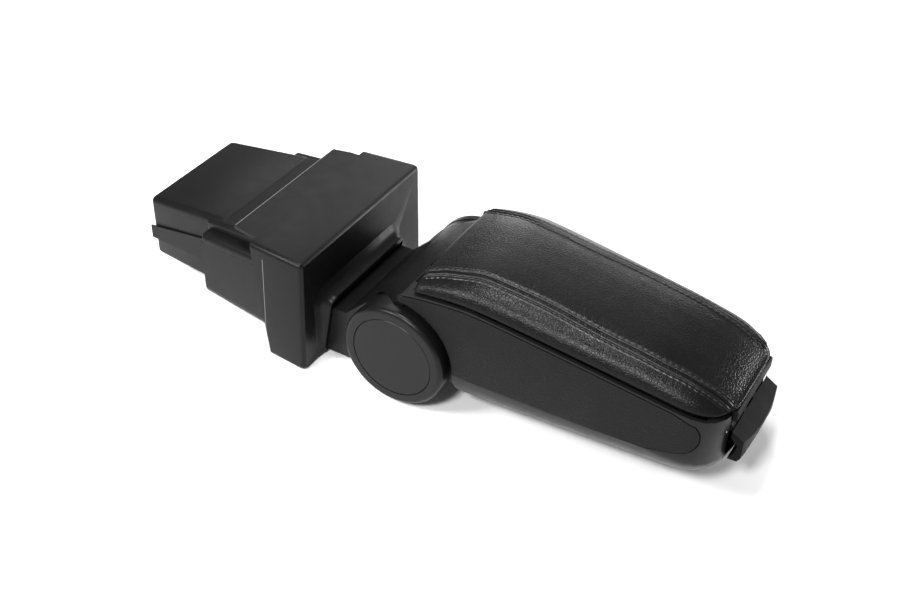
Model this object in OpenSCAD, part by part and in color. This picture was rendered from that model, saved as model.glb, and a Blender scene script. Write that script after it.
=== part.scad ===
// Car centre armrest with a plug-in console adapter, lying down with the arm
// raised in line with the adapter. All sizes are in millimetres.
// +X runs from the adapter to the arm's tip, +Z is up and the pad faces up.
// The origin is on the supporting surface, in the middle of the part's length, with the
// adapter's middle plane at y = 0. The tilt hinge lies mid_x behind the origin.

/* [Hinge] */
// Height of the tilt hinge above the supporting surface
hinge_z = 44; // [43:0.5:47]
// Radius of the round hinge covers
disc_r = 40; // [38:0.5:41]
// Thickness of each hinge cover
disc_t = 8; // [7:0.5:11]
// Radius of the inset plate in each hinge cover
inset_r = 31; // [24:0.5:34]
// Radius of the drum that the arm turns around
drum_r = 38.5; // [35:0.5:38.5]
// Radius of the steel hinge axle
axle_r = 6; // [4:0.5:8]
// Running clearance of the axle in its bushes, on the radius
axle_gap = 0.05; // [0.02:0.01:0.1]

/* [Neck] */
// Room that an ear and its washer take beside the neck, inside the arm's width
ear_room = 16; // [14:0.5:20]
// Height of the neck's top above the supporting surface
neck_top = 46; // [44:0.5:50]
// Height of the neck's underside above the supporting surface
neck_low = 4.5; // [4:0.5:6]
// Distance from the hinge axis to where the neck's top turns up to the drum
neck_ramp = 53; // [50:0.5:58]

/* [Arm] */
// Distance from the hinge axis to the front of the storage tub
arm_len = 234; // [215:1:250]
// Width of the tub at its rear
arm_w = 124; // [118:1:130]
// Loss of half width for each millimetre towards the front
arm_taper = 0.035; // [0.01:0.005:0.05]
// Length of the rounded nose
nose_len = 38; // [30:1:48]
// Height of the tub's rim at its highest point
rim_top = 102; // [98:0.5:108]
// Fall of the rim from its highest point to the front
rim_fall = 23.5; // [18:0.5:26]
// Height of the widest line of the tub's side
side_z = 46; // [42:0.5:52]
// Wall of the tub
tub_wall = 3; // [2.5:0.1:4]
// Thickness of the side inlay panels
inlay_t = 2; // [1.5:0.1:2.2]
// Gap between each hinge cover and the tub's rear arc
arc_gap = 4.7; // [3:0.1:6]

/* [Lid and pad] */
// Thickness of the lid pan under the pad
pan_t = 4; // [3:0.5:6]
// Height of the pad's crown above the rim
pad_h = 19; // [15:0.5:23]
// Radius of the lid's hinge pin
lid_pin_r = 2; // [1.5:0.1:2.4]

/* [Release lever] */
// Width of the lever paddle
lever_w = 63; // [50:1:66]
// Reach of the paddle in front of the tub
lever_reach = 8; // [5:0.5:12]
// Radius of the lever's steel pin
lever_pin_r = 1.5; // [1.2:0.1:1.8]

/* [Adapter] */
// Sideways place of the arm's middle from the adapter's middle
arm_shift = -8; // [-9:0.5:0]
// Distance from the hinge axis to the hood's front face
hood_x = 72.5; // [71:0.5:80]
// Width of the hood at its front
hood_w = 156; // [152:1:165]
// Height of the hood
hood_h = 95; // [91:0.5:98]
// Length of the hood's top
hood_len = 70; // [62:1:76]
// Width of the collar
collar_w = 132; // [128:1:136]
// Distance from the hinge axis to the collar's rear edge
collar_x = 173; // [165:1:180]
// Width of the plug at its end
plug_w = 100; // [94:1:104]
// Distance from the hinge axis to the plug's end
plug_x = 235; // [225:1:250]
// Wall of the three adapter shells
shell_wall = 2.5; // [2:0.1:3]

/* [Hidden] */

$fn = 64;
round_n = 5;       // segments of each rounded shell corner
seat = 0.02;       // hair gap between pieces that are fixed together
slack = 0.4;       // gap between pieces that move past each other
far = 300;         // reach of cutting blocks
rail_out = 0.5;    // how far the side rails stick out past the plug's end
lever_bow = 3.5;   // how much farther out the lever's middle is than its ends
mid_x = (arm_len + lever_reach + lever_bow - plug_x - rail_out) / 2;

// Stack along the hinge axis, measured from the arm's middle
neck_w = arm_w - 2 * ear_room;
drum_half = neck_w / 2;
washer_t = 1;
ear_in = drum_half + washer_t + 0.6;
ear_out = arm_w / 2 - 2.5;
disc_out = ear_out + disc_t;
ear_r = disc_r - 0.5;
arc_r = disc_r + arc_gap;
bush_t = 3;
axle_half = ear_out + 5;
nut_r = axle_r + 4;
nut_t = 4;

// Tub outline along the arm
nose_x = arm_len - nose_len;
nose_power = 3.5;
rim_peak_x = 55;
rim_rear_drop = 6;
horn_x = 3;        // rear end of the tub above the drum
belly_full = 1.95; // roundness of the tub's underside at the rear
belly_sharp = 1.4; // and at the front, where it is more like a keel
belly_rise = 6;    // how much higher the underside is at the rear than under the nose
lean = 4;          // how far the side leans in towards the rim
cavity_front = arm_len - 14;
deck_x = 36;       // front end of the deck that carries the lid's hinge
deck_t = 9;

// Lid hinge, pad and latch
lid_pin_x = 8;
lid_pin_z = rim(lid_pin_x) - 2.6;
knuckle_r = lid_pin_r + 1.6;
knuckle_y = neck_w / 2 - 10; // middle of each lid knuckle
knuckle_w = 14;
lid_pin_in = knuckle_y - 11;  // inner end of each lid pin
lid_pin_len = 24;
pad_x = 9.5;       // rear end of the pad
pad_gap = 1;       // parting line between rim and pad
pad_power = 2.6;   // fullness of the pad's section
lever_pin_x = arm_len - 4.5;
lever_pin_z = rim_top - rim_fall - 12;
recess_x = arm_len - 10.5;
recess_low = lever_pin_z - 26;
hub_r = lever_pin_r + 2;
lip_x = arm_len + 0.8;
lip_t = 4;
lip_drop = 5;

// Adapter shells
corner_r = 5;
collar_front = 90; // distance from the hinge axis to the collar's front edge
collar_r = 10;
wide_x = collar_x + 1;
wide_half = collar_w / 2 - 9;
shoulder_z = 77;
shoulder_low = 70;
plate_t = 3;       // front plate of the hood
tongue_half = 62;
tongue_depth = 9;
side_top_x = hood_x + 48;
side_low_x = hood_x + 32;
boss_len = 10;
boss_flare = 10.5;
boss_half = neck_w / 2 + 3;
boss_top = neck_top + 8.5;
opening_gap = 1.3; // gap between the neck and the sides of the hood's opening
opening_top = 4;   // gap above the neck
flange_t = 5;
flange_x = hood_x + plate_t;
bracket_t = 2.5;
bolt_r = 3;
screw_r = 2;
rail_low = 41;
rail_high = 52;
hood_draft = 0.03; // widening of the hood towards its floor

function plug_half(x) = plug_w / 2 + 0.05 * (plug_x - x);
function plug_top(x) = min(hood_h - 4.5, hood_h - 8 - 0.1 * (x - hood_x - hood_len));
function plug_low(x) = 24.5 - 0.04 * (plug_x - x);
function collar_half(x) = collar_w / 2 + 0.035 * (collar_x - x);
function collar_low(x) = 10 + 0.096 * (x - collar_front);
function hood_half(x) = hood_w / 2 - 0.08 * (x - hood_x);
function hood_top(x) = hood_h - 0.022 * (x - hood_x);

function nose(x, power) = x <= nose_x ? 1
    : pow(max(0, 1 - pow(min(1, (x - nose_x) / nose_len), power)), 1 / power);
function half_w(x) = (arm_w / 2 - arm_taper * max(0, x - disc_r)) * nose(x, nose_power);
function belly_power(x) = belly_full - (belly_full - belly_sharp) * min(1, max(0, (x - disc_r) / 150));
function belly(x) = side_z - (side_z - belly_rise * max(0, nose_x - x) / nose_x) * nose(x, 2);
function rim(x) = x < rim_peak_x
    ? rim_top - rim_rear_drop * pow((rim_peak_x - x) / rim_peak_x, 2)
    : rim_top - rim_fall * pow((min(x, arm_len) - rim_peak_x) / (arm_len - rim_peak_x), 1.1);

// Stations from one x to another, closer together in the nose
function stations(from, to, body_n, nose_n) = concat(
    [for (i = [0 : body_n - 1]) from + (nose_x - from) * i / body_n],
    [for (i = [0 : nose_n]) nose_x + (to - nose_x) * sin(90 * i / nose_n)]);

module at_adapter() { translate([-mid_x, 0, 0]) children(); }
module at_arm() { translate([-mid_x, arm_shift, 0]) children(); }
module at_hinge() { translate([-mid_x, arm_shift, hinge_z]) children(); }
// The same thing on the arm's other side
module other_side() { translate([0, 2 * arm_shift, 0]) mirror([0, 1, 0]) children(); }
module both_sides() { children(); mirror([0, 1, 0]) children(); }
module y_cylinder(r, from, to) { translate([0, from, 0]) rotate([-90, 0, 0]) cylinder(r = r, h = to - from); }
module x_cylinder(r, from, to) { translate([from, 0, 0]) rotate([0, 90, 0]) cylinder(r = r, h = to - from); }

// Bar along Y whose side view, in x and z, is the child outline
module across(from, to) {
    translate([0, to, 0]) rotate([90, 0, 0]) linear_extrude(to - from) children();
}

// Bar along X whose front view, in y and z, is the child outline
module along(from, to) {
    translate([from, 0, 0]) rotate([90, 0, 90]) linear_extrude(to - from) children();
}

// Solid through rings of equal length, each a closed loop of points
module loft(rings) {
    n = len(rings[0]);
    m = len(rings);
    polyhedron(
        points = [for (ring = rings) for (p = ring) p],
        faces = concat(
            [[for (j = [0 : n - 1]) j]],
            [for (i = [0 : m - 2], j = [0 : n - 1]) [i * n + j, (i + 1) * n + j, (i + 1) * n + (j + 1) % n]],
            [for (i = [0 : m - 2], j = [0 : n - 1]) [i * n + j, (i + 1) * n + (j + 1) % n, i * n + (j + 1) % n]],
            [[for (j = [n - 1 : -1 : 0]) (m - 1) * n + j]]));
}

// Rounded rectangle at x; its corners have their centres r inside the walls, and the radius q
function box_ring(x, w, low, high, r, q, draft) =
    [for (c = [[1, high - r, 0], [-1, high - r, 90], [-1, low + r, 180], [1, low + r, 270]], k = [0 : round_n])
        let (a = c[2] + 90 * k / round_n)
        [x, c[0] * (w - r + draft * (high - r - c[1])) + q * cos(a), c[1] + q * sin(a)]];

// Rounded box with its own half width, low and high edge at each end; draft widens it downwards
module tapered_box(x0, w0, low0, high0, x1, w1, low1, high1, r, draft = 0) {
    ends = [[0, 0.25], [0.134, 0.5], [0.5, 0.866], [1, 1]];
    loft(concat(
        [for (e = ends) box_ring(x0 + r * e[0], w0, low0, high0, r, e[1] * r, draft)],
        [for (i = [3 : -1 : 0]) box_ring(x1 - r * ends[i][0], w1, low1, high1, r, ends[i][1] * r, draft)]));
}

module plug_narrow(inset, front) {
    tapered_box(-plug_x + inset, plug_half(plug_x) - inset, plug_low(plug_x) + inset, plug_top(plug_x) - inset,
                -front, plug_half(front) - inset, plug_low(front) + inset, plug_top(front) - inset, corner_r);
}

// The wider upper part of the plug, and the shoulder that covers the collar's edges
module plug_wide(inset, front) {
    tapered_box(-wide_x + inset, wide_half - inset, shoulder_low - 12, plug_top(wide_x) - inset,
                -front, wide_half + 3 - inset, shoulder_low - 12, plug_top(front) - inset, corner_r - 2);
    tapered_box(-wide_x + inset, collar_half(wide_x) + 0.3 - inset, shoulder_low - 12, shoulder_z - inset,
                -front, collar_half(front) + 0.3 - inset, shoulder_low - 12, shoulder_z + 1 - inset, corner_r);
}

module plug_shell() {
    narrow_front = collar_x - 16;
    color("#2b2b2c")
    at_adapter() difference() {
        union() {
            plug_narrow(0, narrow_front);
            intersection() {
                plug_wide(0, collar_front - 8);
                translate([-far, -far, shoulder_low]) cube([far - collar_front, 2 * far, far]);
            }
        }
        plug_narrow(shell_wall, narrow_front - 12);
        plug_wide(shell_wall, collar_front - 20);
        screw_places() translate([0, 0, -1]) cylinder(r = screw_r + 0.1, h = 40);
    }
}

// Strip along one side of the plug
module side_rail() {
    ends = [plug_x + rail_out, collar_x + 3];
    color("#1f1f20")
    at_adapter() intersection() {
        translate([0, 0, rail_low]) linear_extrude(40)
            polygon([for (x = ends) [-x, plug_half(x) + 0.15], for (x = [ends[1], ends[0]]) [-x, plug_half(x) + 1.5]]);
        across(0, far) polygon([[-ends[0], 0], [-ends[0], rail_high], [-ends[1], rail_high + 10.5], [-ends[1], 0]]);
    }
}
module side_rail_left() { side_rail(); }
module side_rail_right() { mirror([0, 1, 0]) side_rail(); }

module collar_box(inset) {
    rear = collar_x + 14;
    front = collar_front - 14;
    tapered_box(-rear, collar_half(rear) - inset, collar_low(rear) + inset, hood_h,
                -front, collar_half(front) - inset, collar_low(front) + inset, hood_h, collar_r);
}

// Places of the two screws that hold the plug in the collar
module screw_places() {
    both_sides() translate([-collar_x + 7, 30, 0]) children();
}

// Places of the two screws that hold the collar in the hood
module lug_places() {
    both_sides() translate([-collar_front - 7, 42, 0]) children();
}

module collar_shell() {
    color("#343435")
    at_adapter() difference() {
        union() {
            intersection() {
                difference() {
                    collar_box(0);
                    collar_box(shell_wall);
                }
                translate([-collar_x, -far, 0]) cube([collar_x - collar_front, 2 * far, shoulder_low - 0.5]);
            }
            lug_places() translate([0, 0, shell_wall + seat]) cylinder(r = 5, h = collar_low(collar_front) - shell_wall + 1.5);
        }
        lug_places() cylinder(r = screw_r + seat, h = collar_low(collar_front) + 1);
        screw_places() cylinder(r = screw_r + 0.2, h = 40);
    }
}

module hood_box(inset, front) {
    rear = hood_x + hood_len + 14;
    tapered_box(-rear, hood_half(rear) - inset, inset, hood_top(rear) - inset,
                -front, hood_half(front) - inset, inset, hood_top(front) - inset, corner_r - 1, hood_draft);
}

// What the trimmed rear edges leave of the hood
module hood_trim() {
    slope = (side_top_x - side_low_x) / hood_h;
    across(-far, far) polygon([[0, -10], [-side_low_x + 10 * slope, -10], [-side_top_x - 20 * slope, hood_h + 20], [0, hood_h + 20]]);
    translate([0, 0, hood_h - tongue_depth]) linear_extrude(2 * tongue_depth)
        polygon([[-hood_x - 20, -tongue_half - 3], [-hood_x - hood_len + 15, -tongue_half - 3], [-hood_x - hood_len, -tongue_half],
                 [-hood_x - hood_len, tongue_half], [-hood_x - hood_len + 15, tongue_half + 3], [-hood_x - 20, tongue_half + 3]]);
}

// Ring of the flared boss around the neck, in y and z; t runs from the face to the rim
function boss_ring(t, side_n) =
    let (extra = t < 1 ? boss_flare * (1 - sqrt(1 - pow(1 - t, 2))) : 0,
         w = boss_half + extra, low = shell_wall, high = boss_top + extra, r = 8 + extra * 0.6)
    [for (c = [[w - r, high - r, 0], [-w + r, high - r, 90], [-w + 2, low + 2, 180], [w - 2, low + 2, 270]], k = [0 : side_n])
        let (a = c[2] + 90 * k / side_n, rr = c[2] < 180 ? r : 2)
        [-hood_x - (t == 0 ? 1.5 : 0) + boss_len * t * (0.1 + 0.9 * (c[1] + rr * sin(a)) / boss_top), c[0] + rr * cos(a), c[1] + rr * sin(a)]];

module neck_opening(grow) {
    w = neck_w / 2 + grow;
    along(-hood_x - 10, -hood_x + 20)
        translate([-w, neck_low - grow]) square([2 * w, neck_top - neck_low + grow + opening_top]);
}

module hood_shell() {
    color("#2c2c2d")
    difference() {
        union() {
            at_adapter() intersection() {
                difference() {
                    hood_box(0, hood_x);
                    hood_box(shell_wall, hood_x + plate_t);
                }
                hood_trim();
            }
            at_arm() loft([for (t = [0, 0.06, 0.2, 0.4, 0.65, 0.9, 1]) boss_ring(t, 5)]);
        }
        at_arm() neck_opening(opening_gap);
        at_arm() bolt_places() x_cylinder(bolt_r + 0.05, -hood_x - 10, -hood_x - 1);
        at_adapter() lug_places() {
            translate([0, 0, -1]) cylinder(r = screw_r + 0.2, h = 10);
            translate([0, 0, -1]) cylinder(r = 4.2, h = 2.4);
        }
    }
}

module adapter_screws() {
    color("#8d8f92") at_adapter() {
        lug_places() {
            translate([0, 0, 0.3]) cylinder(r = 4, h = 1.1 - seat);
            translate([0, 0, 0.3]) cylinder(r = screw_r, h = collar_low(collar_front) - 1);
        }
        screw_places() {
            head_z = collar_low(collar_x - 7);
            translate([0, 0, head_z - 1.5]) cylinder(r = 4, h = 1.5 - 0.5);
            translate([0, 0, head_z - 1.5]) cylinder(r = screw_r, h = 12);
        }
    }
}

// Places of the four neck bolts, in y and z
module bolt_places() {
    for (side = [-1, 1], z = [14, neck_top + 9]) translate([0, side * (neck_w / 2 + 5), z]) children();
}

// Folded steel strap that spreads the neck's load into the plug
module steel_bracket() {
    rear = hood_x + plate_t + flange_t;
    plate_half = neck_w / 2 + 12;
    arm_half = plug_half(plug_x) - shell_wall - 0.5;
    color("#9a9c9f")
    difference() {
        at_adapter() union() {
            translate([-rear - bracket_t, arm_shift - plate_half, 8]) cube([bracket_t - seat, 2 * plate_half, neck_top + 8]);
            for (side = [-1, 1])
                translate([-collar_x - 40, side * (arm_half - bracket_t / 2) - bracket_t / 2, 29])
                    cube([collar_x + 40 - rear - 0.5, bracket_t, 19]);
        }
        at_arm() bolt_places() x_cylinder(bolt_r + 0.05, -rear - 10, -rear + 10);
        at_adapter() for (side = [-1, 1], x = [collar_x - 20, collar_x + 20])
            translate([-x, side * arm_half, 37]) y_cylinder(3.2, -10, 10);
    }
}

// Moulded neck: flange, block, ramp and the drum with its bore
module neck() {
    reach = norm([neck_ramp, neck_top - hinge_z]);
    tangent = 180 - asin((neck_top - hinge_z) / reach) - acos(drum_r / reach);
    color("#29292a")
    at_arm() difference() {
        union() {
            across(-drum_half, drum_half) {
                polygon([[-flange_x - flange_t, neck_low], [-flange_x - flange_t, neck_top], [-neck_ramp, neck_top],
                         [drum_r * cos(tangent), hinge_z + drum_r * sin(tangent)], [0, hinge_z], [0, hinge_z - drum_r + 0.2]]);
                translate([0, hinge_z]) circle(drum_r, $fn = 96);
            }
            translate([-flange_x - flange_t, -neck_w / 2 - 10, neck_low + 3.5]) cube([flange_t - seat, neck_w + 20, neck_top + 8.5 - neck_low]);
        }
        translate([0, 0, hinge_z]) y_cylinder(axle_r + seat, -far, far);
        bolt_places() x_cylinder(bolt_r + 0.05, -far, 0);
    }
}

module neck_bolts() {
    rear = hood_x + plate_t + flange_t + bracket_t;
    color("#8d8f92")
    at_arm() bolt_places() {
        translate([-rear - 4, 0, 0]) rotate([0, 90, 0]) cylinder(r = bolt_r + 2.5, h = 4 - seat, $fn = 6);
        x_cylinder(bolt_r, -rear - 4, -hood_x - 1.2);
    }
}

module axle() {
    color("#b4b6b8") at_hinge() y_cylinder(axle_r, -axle_half, axle_half);
}

// Spring washer that gives the tilt its friction
module friction_washer() {
    color("#a5a7a9") at_hinge() difference() {
        y_cylinder(axle_r + 11, drum_half + 0.02, drum_half + 0.02 + washer_t);
        y_cylinder(axle_r + 0.3, 0, far);
    }
}
module friction_washer_left() { friction_washer(); }
module friction_washer_right() { other_side() friction_washer(); }

// Lock nut on each end of the axle, inside the hinge cover
module axle_nut() {
    color("#8d8f92") at_hinge() difference() {
        translate([0, ear_out + slack, 0]) rotate([-90, 0, 0]) cylinder(r = nut_r, h = nut_t, $fn = 6);
        y_cylinder(axle_r + seat, 0, far);
    }
}
module axle_nut_left() { axle_nut(); }
module axle_nut_right() { other_side() axle_nut(); }

module bush() {
    color("#c9c6ba") at_hinge() difference() {
        y_cylinder(axle_r + bush_t, ear_in, ear_out);
        y_cylinder(axle_r + axle_gap, 0, far);
    }
}
module bush_left() { bush(); }
module bush_right() { other_side() bush(); }

// Closed ring of the tub's section at x, drawn in from the surface by inset
function tub_ring(x, inset) =
    let (w = max(4, half_w(x) - inset), low = min(side_z - 4, belly(x) + inset), top = rim_top + 20,
         e = 2 / belly_power(x), n = 16)
    [for (i = [0 : n]) let (a = 180 * i / n)
        [x, -w * sign(cos(a)) * pow(abs(cos(a)), e), side_z - (side_z - low) * pow(sin(a), e)],
     [x, w - lean, top], [x, -(w - lean), top]];

module tub_body(inset, from, to) {
    loft([for (x = stations(from, to, 7, 7)) tub_ring(x, inset)]);
}

// Side view of what lies below the rim
module below_rim(drop) {
    xs = [for (i = [0 : 22]) -20 + (arm_len + 40) * i / 22];
    polygon(concat([for (x = xs) [x, rim(x) - drop]], [[arm_len + 20, -20], [-20, -20]]));
}

// Side view of the space that the drum and the neck's swing need
module swing_space(r) {
    translate([0, hinge_z]) circle(r, $fn = 96);
    translate([-60, -20]) square([60 + r, hinge_z + 20]);
    translate([-60, -20]) square([60 + horn_x, rim_top + 60]);
}

// Side view of an inlay panel: it follows the hinge cover, the rim and the belly
module inlay_outline(grow) {
    tip = [arm_len - 29, side_z + 20];
    tip_r = 14 + grow;
    difference() {
        polygon(concat(
            [[0, side_z - grow], [arm_len * 0.62, side_z - 1 - grow], [arm_len * 0.8, side_z + 1.5 - grow]],
            [for (a = [-75 : 15 : 45]) tip + tip_r * [cos(a), sin(a)]],
            [for (i = [0 : 12]) let (x = arm_len - 34 - (arm_len - 34) * i / 12) [x, rim(x) - 2 + grow]]));
        translate([0, hinge_z]) circle(arc_r + 0.6 - grow, $fn = 96);
    }
}

// Side ear with the bush's bore, and the web that joins it to the tub inside the cover
module ear() {
    difference() {
        union() {
            y_cylinder(ear_r, ear_in, ear_out);
            across(ear_in, ear_in + 5) intersection() {
                circle(arc_r + 1, $fn = 96);
                polygon([[horn_x + 0.3, 0], [horn_x + 0.3, far], [far, far], [far, -15], [30, -15]]);
            }
        }
        y_cylinder(axle_r + bush_t + seat, 0, far);
    }
}

// Space inside the tub: it is open at the top in front of the deck
module cavity() {
    difference() {
        tub_body(tub_wall, 22, cavity_front);
        across(-far, far) swing_space(arc_r + tub_wall);
        across(-far, far) difference() {
            translate([-20, 40]) square([20 + deck_x, 100]);
            below_rim(deck_t);
        }
    }
}

module tub() {
    color("#272728")
    difference() {
        union() {
            at_arm() intersection() {
                tub_body(0, horn_x, arm_len - 0.3);
                across(-far, far) difference() { below_rim(0); swing_space(arc_r); }
            }
            at_hinge() both_sides() ear();
        }
        at_arm() {
            cavity();
            both_sides() intersection() {
                across(10, far) inlay_outline(0.6);
                difference() {
                    tub_body(-5, -5, arm_len - 1);
                    tub_body(inlay_t + seat, -6, arm_len - 0.5);
                }
            }
            // recess for the lever and the lid's lip
            translate([recess_x, -lever_w / 2 - 1.5, recess_low]) cube([far, lever_w + 3, far]);
            translate([lever_pin_x, 0, lever_pin_z]) y_cylinder(lever_pin_r + seat, -lever_w / 2 - 5, lever_w / 2 + 5);
            // lid hinge: pin hole and slots for the lid's knuckles
            both_sides() translate([lid_pin_x, 0, lid_pin_z]) y_cylinder(lid_pin_r + seat, lid_pin_in - 1, lid_pin_in + lid_pin_len);
            both_sides() translate([lid_pin_x, 0, lid_pin_z]) {
                y_cylinder(knuckle_r + slack, knuckle_y - knuckle_w / 2 - slack, knuckle_y + knuckle_w / 2 + slack);
                translate([-knuckle_r - slack, knuckle_y - knuckle_w / 2 - slack, 0])
                    cube([2 * knuckle_r + 5, knuckle_w + 2 * slack, 30]);
            }
            both_sides() {
                cap_tongue(0.1, 10);
                cap_screw_place() translate([0, 0, -9]) cylinder(r = screw_r + seat, h = 9);
            }
        }
    }
}

module cap_screw_place() { translate([horn_x + 10, knuckle_y - 18.5, rim(horn_x) - 0.5]) children(); }

// Tongue of the rear cap that lies in the tub's deck, under the lid
module cap_tongue(grow, above) {
    cap_screw_place() translate([-10.5, -5.5 - grow, -4 - grow]) cube([16 + grow, 11 + 2 * grow, 4 + grow + above]);
}

module hinge_disc() {
    rim_r = 3.5;
    color("#262627") at_hinge() translate([0, ear_out + seat, 0]) rotate([-90, 0, 0]) rotate_extrude($fn = 96)
        difference() {
            union() {
                square([disc_r - rim_r, disc_t]);
                square([disc_r, disc_t - rim_r]);
                translate([disc_r - rim_r, disc_t - rim_r]) circle(rim_r, $fn = 48);
            }
            // well for the nut, and the seat of the inset plate
            translate([-1, -1]) square([nut_r + 3, nut_t + 2.4]);
            translate([-1, disc_t - 1.6]) square([inset_r + 1.7, 5]);
        }
}
module hinge_disc_left() { hinge_disc(); }
module hinge_disc_right() { other_side() hinge_disc(); }

module disc_inset() {
    color("#2d2d2e") at_hinge() translate([0, ear_out + disc_t - 1.6 + 2 * seat, 0]) rotate([-90, 0, 0]) rotate_extrude($fn = 96)
        polygon([[0, 0], [inset_r + 0.6, 0], [inset_r + 0.6, 0.9], [inset_r, 1.5], [0, 1.5]]);
}
module disc_inset_left() { disc_inset(); }
module disc_inset_right() { other_side() disc_inset(); }

module inlay() {
    color("#313132") intersection() {
        across(10, far) inlay_outline(0);
        difference() {
            tub_body(-0.3, -5, arm_len - 1);
            tub_body(inlay_t, -6, arm_len - 0.5);
        }
    }
}
module inlay_left() { at_arm() inlay(); }
module inlay_right() { at_arm() mirror([0, 1, 0]) inlay(); }

// Side view of the rear cap at a distance of y from the arm's middle
function cap_ring(y) = let (f = horn_x - seat, top = rim(horn_x))
    abs(y) < ear_out - 14.5
    ? [[-31, y, 66], [-31, y, 71], [-25, y, 78.5], [-16, y, 86.5], [-8, y, 91.5], [f, y, top], [f, y, 66]]
    : [[-4, y, 66], [-4, y, 84.5], [-3, y, 85.5], [-2, y, 86.3], [-1, y, 87], [f, y, top - 7], [f, y, 66]];

// Cover over the drum, between the tub and the neck
module rear_cap() {
    side = ear_out - 2;
    step = side - 17.5;
    color("#333334") at_arm() difference() {
        union() {
            loft([for (y = [-side, -step, step, side]) cap_ring(y)]);
            both_sides() cap_tongue(0, 0);
        }
        translate([0, 0, hinge_z]) y_cylinder(ear_r + slack, -far, far);
        both_sides() cap_screw_place() {
            translate([0, 0, -10]) cylinder(r = screw_r + 0.1, h = 20);
            translate([0, 0, -2]) cylinder(r = 3.8, h = 10);
        }
    }
}

module cap_screws() {
    color("#8d8f92") at_arm() both_sides() cap_screw_place() {
        translate([0, 0, -8]) cylinder(r = screw_r, h = 7);
        translate([0, 0, -2 + seat]) cylinder(r = 3.6, h = 1.6);
    }
}

// Felt mat that follows the floor of the storage space
module liner_mat() {
    color("#1d1d1e") at_arm() intersection() {
        translate([60, -27, 0]) cube([cavity_front - 84, 54, 30]);
        difference() {
            tub_body(tub_wall + 0.3, 52, cavity_front - 1);
            tub_body(tub_wall + 1.8, 51, cavity_front);
        }
    }
}

module lid_pins() {
    color("#b4b6b8") at_arm() both_sides() translate([lid_pin_x, 0, lid_pin_z]) y_cylinder(lid_pin_r, lid_pin_in, lid_pin_in + lid_pin_len - 0.5);
}

module lever_pin() {
    color("#b4b6b8") at_arm() translate([lever_pin_x, 0, lever_pin_z]) y_cylinder(lever_pin_r, -lever_w / 2 - 4.5, lever_w / 2 + 4.5);
}

// Torsion spring around the lever's pin
module lever_spring() {
    wire = 0.5;
    turns = 5;
    coil = lever_pin_r + wire + 0.5;
    steps = turns * 16;
    color("#b4b6b8") at_arm() translate([lever_pin_x, 0, lever_pin_z])
        loft([for (i = [0 : steps]) let (a = 360 * turns * i / steps, y = -4 + 8 * i / steps)
            [for (k = [0 : 5]) let (b = -60 * k, rr = coil + wire * cos(b)) [rr * cos(a), y + wire * sin(b), rr * sin(a)]]]);
}

// Half width of the lid pan, and of the pad's base
function pan_half(x) = half_w(x) - lean - 5 - 10 * max(0, 1 - (x - pad_x) / 20);
function pad_half(x) = (arm_w / 2 - arm_taper * max(0, x - disc_r) - lean - 0.6)
    * pow(1 - pow(max(0, (x - nose_x) / (nose_len + 3)), 2.8), 1 / 2.8);
function pan_low(x) = rim(x) + pad_gap - 0.5;

// Side view of the pan
module pan_side(xs) {
    polygon(concat(
        [for (x = xs) [x, pan_low(x)]],
        [for (i = [len(xs) - 1 : -1 : 0]) [xs[i], pan_low(xs[i]) + pan_t]]));
}

// Plan of the pan
module pan_plan(xs) {
    polygon(concat(
        [for (x = xs) [x, -pan_half(x)]],
        [for (i = [len(xs) - 1 : -1 : 0]) [xs[i], pan_half(xs[i])]]));
}

// Side view of the lip at the lid's front
module lip_side() {
    low = rim(arm_len) - lip_drop;
    polygon([[lip_x - lip_t - 3, pan_low(arm_len) + 3], [lip_x - lip_t - 3, pan_low(arm_len) + 0.5], [lip_x - lip_t, pan_low(arm_len)],
             [lip_x - lip_t, low], [lip_x - 0.8, low], [lip_x, low + 0.8], [lip_x, pan_low(arm_len) + 2], [lip_x - 1, pan_low(arm_len) + 3]]);
}

module lid_pan() {
    xs = stations(pad_x + 1, arm_len - 2, 8, 10);
    color("#1f1f20") at_arm() difference() {
        union() {
            intersection() {
                across(-far, far) pan_side(xs);
                linear_extrude(far) pan_plan(xs);
            }
            // lip above the release lever
            across(-lever_w / 2, lever_w / 2) lip_side();
            both_sides() translate([lid_pin_x, 0, lid_pin_z]) {
                y_cylinder(knuckle_r, knuckle_y - knuckle_w / 2, knuckle_y + knuckle_w / 2);
                translate([1, knuckle_y - knuckle_w / 2, 0]) cube([knuckle_r - 1, knuckle_w, 4]);
                translate([1, knuckle_y - knuckle_w / 2, 2.6]) cube([knuckle_r + 3, knuckle_w, 3]);
            }
        }
        translate([lid_pin_x, 0, lid_pin_z]) y_cylinder(lid_pin_r + 0.05, -far, far);
        pad_screw_places() translate([0, 0, -30]) cylinder(r = screw_r + 0.1, h = 60);
    }
}

// Places of the screws that hold the pad on the pan
module pad_screw_places() {
    for (x = [80, arm_len - 60], side = [-1, 1]) translate([x, side * 32, rim(x) + pad_gap - 0.5]) children();
}

module pad_screws() {
    color("#8d8f92") at_arm() pad_screw_places() {
        translate([0, 0, -2.9]) cylinder(r = 4, h = 2);
        translate([0, 0, -2.9]) cylinder(r = screw_r, h = pan_t + 2);
    }
}

// Thickness of the pad at x: it rises behind a small rear radius and rolls down at the front
function pad_rise(x) =
    let (back = min(1, (x - pad_x) / 60), edge = min(1, (x - pad_x) / 4), roll = max(0, (x - arm_len + 64) / 66))
    pad_h * (0.62 + 0.38 * (1 - pow(1 - back, 2))) * (0.75 + 0.25 * sqrt(1 - pow(1 - edge, 2))) * sqrt(1 - pow(roll, 2));

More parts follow.
